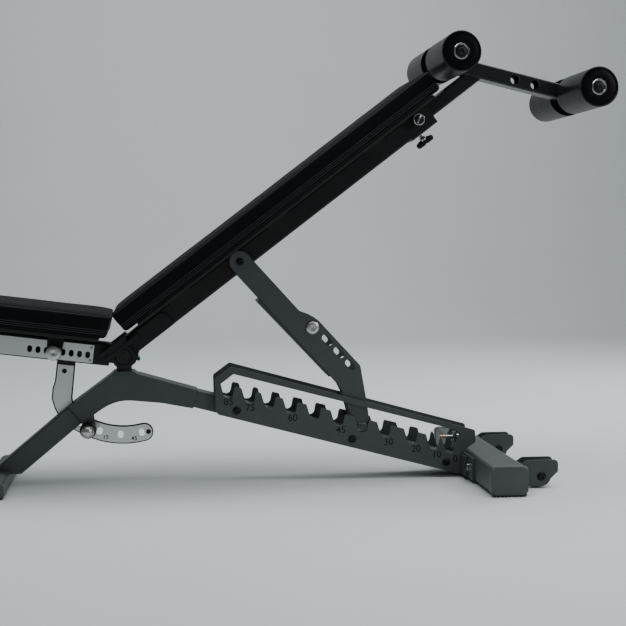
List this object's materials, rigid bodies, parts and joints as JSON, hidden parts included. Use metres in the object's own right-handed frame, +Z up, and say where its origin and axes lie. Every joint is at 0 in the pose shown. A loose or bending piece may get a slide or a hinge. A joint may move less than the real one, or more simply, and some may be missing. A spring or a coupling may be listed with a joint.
{
  "type": "adjustable weight bench",
  "caption": "Padded bench with a hinged seat and back; a prop drops into a notched ladder to set the back angle, and foam leg rollers plug into its end.",
  "frame": {"origin": "floor level under the middle of the bench's overall box", "axes": "+X from the seat end to the ladder foot, +Y to the far side as seen with the seat on the left, +Z up"},
  "size_m": [1.6227, 0.612, 1.1216],
  "materials": {
    "powder_coated_steel": "fine textured powder coat, near black",
    "brushed_steel": "brushed",
    "chrome": "bright",
    "rubber": "matte black",
    "roller_foam": "closed-cell foam sleeve, matte",
    "vinyl": "grained black vinyl",
    "plywood": "plain",
    "nylon": "natural nylon"
  },
  "bodies": {
    "base": {"apex_frame": "powder_coated_steel", "front_leg": "powder_coated_steel", "front_foot": "powder_coated_steel", "front_foot_cap_near": "rubber", "front_foot_cap_far": "rubber", "rear_tube": "powder_coated_steel", "ladder_plate_near": "powder_coated_steel", "ladder_plate_far": "powder_coated_steel", "ladder_bolt_1": "chrome", "ladder_bolt_2": "chrome", "ladder_bolt_3": "chrome", "rear_foot": "powder_coated_steel", "rear_foot_cap_near": "rubber", "rear_foot_cap_far": "rubber", "wheel_bracket_near": "powder_coated_steel", "wheel_bracket_far": "powder_coated_steel", "wheel_axle_near": "chrome", "wheel_axle_far": "chrome"},
    "hinge_axle": {"pivot_axle": "chrome", "pivot_cap_near": "powder_coated_steel", "pivot_cap_far": "powder_coated_steel"},
    "back": {"back_tube": "powder_coated_steel", "back_cheek_near": "powder_coated_steel", "back_cheek_far": "powder_coated_steel", "back_board": "plywood", "back_cushion": "vinyl", "receiver_collar": "powder_coated_steel", "prop_bolt": "powder_coated_steel"},
    "prop_sleeve": {"prop_bush": "brushed_steel"},
    "prop": {"prop_plate_near": "powder_coated_steel", "prop_plate_far": "powder_coated_steel", "prop_web": "powder_coated_steel", "prop_pin": "chrome", "prop_cross_bolt": "chrome"},
    "seat_frame": {"seat_rail": "powder_coated_steel", "seat_scale_near": "brushed_steel", "seat_scale_far": "brushed_steel", "quadrant_arm": "powder_coated_steel", "quadrant_cover": "brushed_steel"},
    "outer_glides": {"glide_strip_1": "nylon", "glide_strip_3": "nylon"},
    "middle_glide": {"glide_strip_2": "nylon"},
    "seat": {"seat_carriage": "powder_coated_steel", "seat_board": "plywood", "seat_cushion": "vinyl"},
    "slide_pin": {"slide_pin": "brushed_steel"},
    "quadrant_pin": {"quadrant_pin": "chrome"},
    "receiver_pin": {"receiver_pin": "chrome"},
    "thumb_screw": {"thumb_screw": "chrome"},
    "roller_attachment": {"roller_arm": "powder_coated_steel", "upper_axle": "chrome", "lower_axle": "chrome"},
    "upper_roller_near": {"upper_roller_near": "roller_foam"},
    "upper_roller_far": {"upper_roller_far": "roller_foam"},
    "lower_roller_near": {"lower_roller_near": "roller_foam"},
    "lower_roller_far": {"lower_roller_far": "roller_foam"},
    "wheel_near": {"wheel_near": "rubber"},
    "wheel_far": {"wheel_far": "rubber"},
    "ladder_catch": {"ladder_catch": "chrome"}
  },
  "joints": [
    {"name": "back_lower", "type": "hinge", "parent": "base", "child": "hinge_axle", "pos_m": [-0.4048, 0, 0.325], "axis": [0, -1, 0], "range_deg": [-37.5, 0]},
    {"name": "back_raise", "type": "hinge", "parent": "hinge_axle", "child": "back", "pos_m": [-0.4048, 0, 0.325], "axis": [0, -1, 0], "range_deg": [0, 47.5]},
    {"name": "prop_swing_lower", "type": "hinge", "parent": "back", "child": "prop_sleeve", "pos_m": [-0.1128, 0, 0.5605], "axis": [0, -1, 0], "range_deg": [0, 61.61]},
    {"name": "prop_swing_raise", "type": "hinge", "parent": "prop_sleeve", "child": "prop", "pos_m": [-0.1128, 0, 0.5605], "axis": [0, -1, 0], "range_deg": [-57.19, 0]},
    {"name": "seat_tilt", "type": "hinge", "parent": "base", "child": "seat_frame", "pos_m": [-0.4048, 0, 0.325], "axis": [0, -1, 0], "range_deg": [-38, 7]},
    {"name": "seat_clears_back", "type": "slide", "parent": "seat_frame", "child": "outer_glides", "axis": [-0.9925, 0, 0.1219], "range_m": [0, 0.0801]},
    {"name": "seat_clears_tilt", "type": "slide", "parent": "outer_glides", "child": "middle_glide", "axis": [-0.9925, 0, 0.1219], "range_m": [-0.0119, 0.0641]},
    {"name": "seat_slide", "type": "slide", "parent": "middle_glide", "child": "seat", "axis": [-0.9925, 0, 0.1219], "range_m": [0, 0.0612]},
    {"name": "slide_pin_pull", "type": "slide", "parent": "seat", "child": "slide_pin", "axis": [0, -1, 0], "range_m": [0, 0.012], "stiffness_N_per_m": 400},
    {"name": "quadrant_pin_pull", "type": "slide", "parent": "base", "child": "quadrant_pin", "axis": [0, -1, 0], "range_m": [0, 0.014], "stiffness_N_per_m": 400},
    {"name": "receiver_pin_pull", "type": "slide", "parent": "back", "child": "receiver_pin", "axis": [0, -1, 0], "range_m": [0, 0.012], "stiffness_N_per_m": 400},
    {"name": "thumb_screw_turn", "type": "hinge", "parent": "back", "child": "thumb_screw", "pos_m": [0.34571, 0, 0.90089], "axis": [-0.6088, 0, 0.7934], "range_deg": [-360, 0]},
    {"name": "attachment_slide", "type": "slide", "parent": "back", "child": "roller_attachment", "axis": [0.7934, 0, 0.6088], "range_m": [0, 0.055]},
    {"name": "ladder_catch_pull", "type": "slide", "parent": "base", "child": "ladder_catch", "axis": [1, 0, 0], "range_m": [0, 0.008], "stiffness_N_per_m": 400},
    {"name": "upper_roller_near_spin", "type": "hinge", "parent": "roller_attachment", "child": "upper_roller_near", "pos_m": [0.41384, 0, 1.07165], "axis": [0, 1, 0], "continuous": true},
    {"name": "upper_roller_far_spin", "type": "hinge", "parent": "roller_attachment", "child": "upper_roller_far", "pos_m": [0.41384, 0, 1.07165], "axis": [0, 1, 0], "continuous": true},
    {"name": "lower_roller_near_spin", "type": "hinge", "parent": "roller_attachment", "child": "lower_roller_near", "pos_m": [0.76134, 0, 0.99167], "axis": [0, 1, 0], "continuous": true},
    {"name": "lower_roller_far_spin", "type": "hinge", "parent": "roller_attachment", "child": "lower_roller_far", "pos_m": [0.76134, 0, 0.99167], "axis": [0, 1, 0], "continuous": true},
    {"name": "wheel_near_spin", "type": "hinge", "parent": "base", "child": "wheel_near", "pos_m": [0.6242, 0, 0.029], "axis": [0, 1, 0], "continuous": true},
    {"name": "wheel_far_spin", "type": "hinge", "parent": "base", "child": "wheel_far", "pos_m": [0.6242, 0, 0.029], "axis": [0, 1, 0], "continuous": true}
  ],
  "couplings": [
    {"joint": "prop_swing_lower", "follows": "back_lower", "ratio": -1.6428},
    {"joint": "prop_swing_raise", "follows": "back_raise", "ratio": -1.2039},
    {"joint": "seat_clears_back", "follows": "back_raise", "m_per_rad": 0.0965},
    {"joint": "seat_clears_tilt", "follows": "seat_tilt", "m_per_rad": -0.0965}
  ]
}
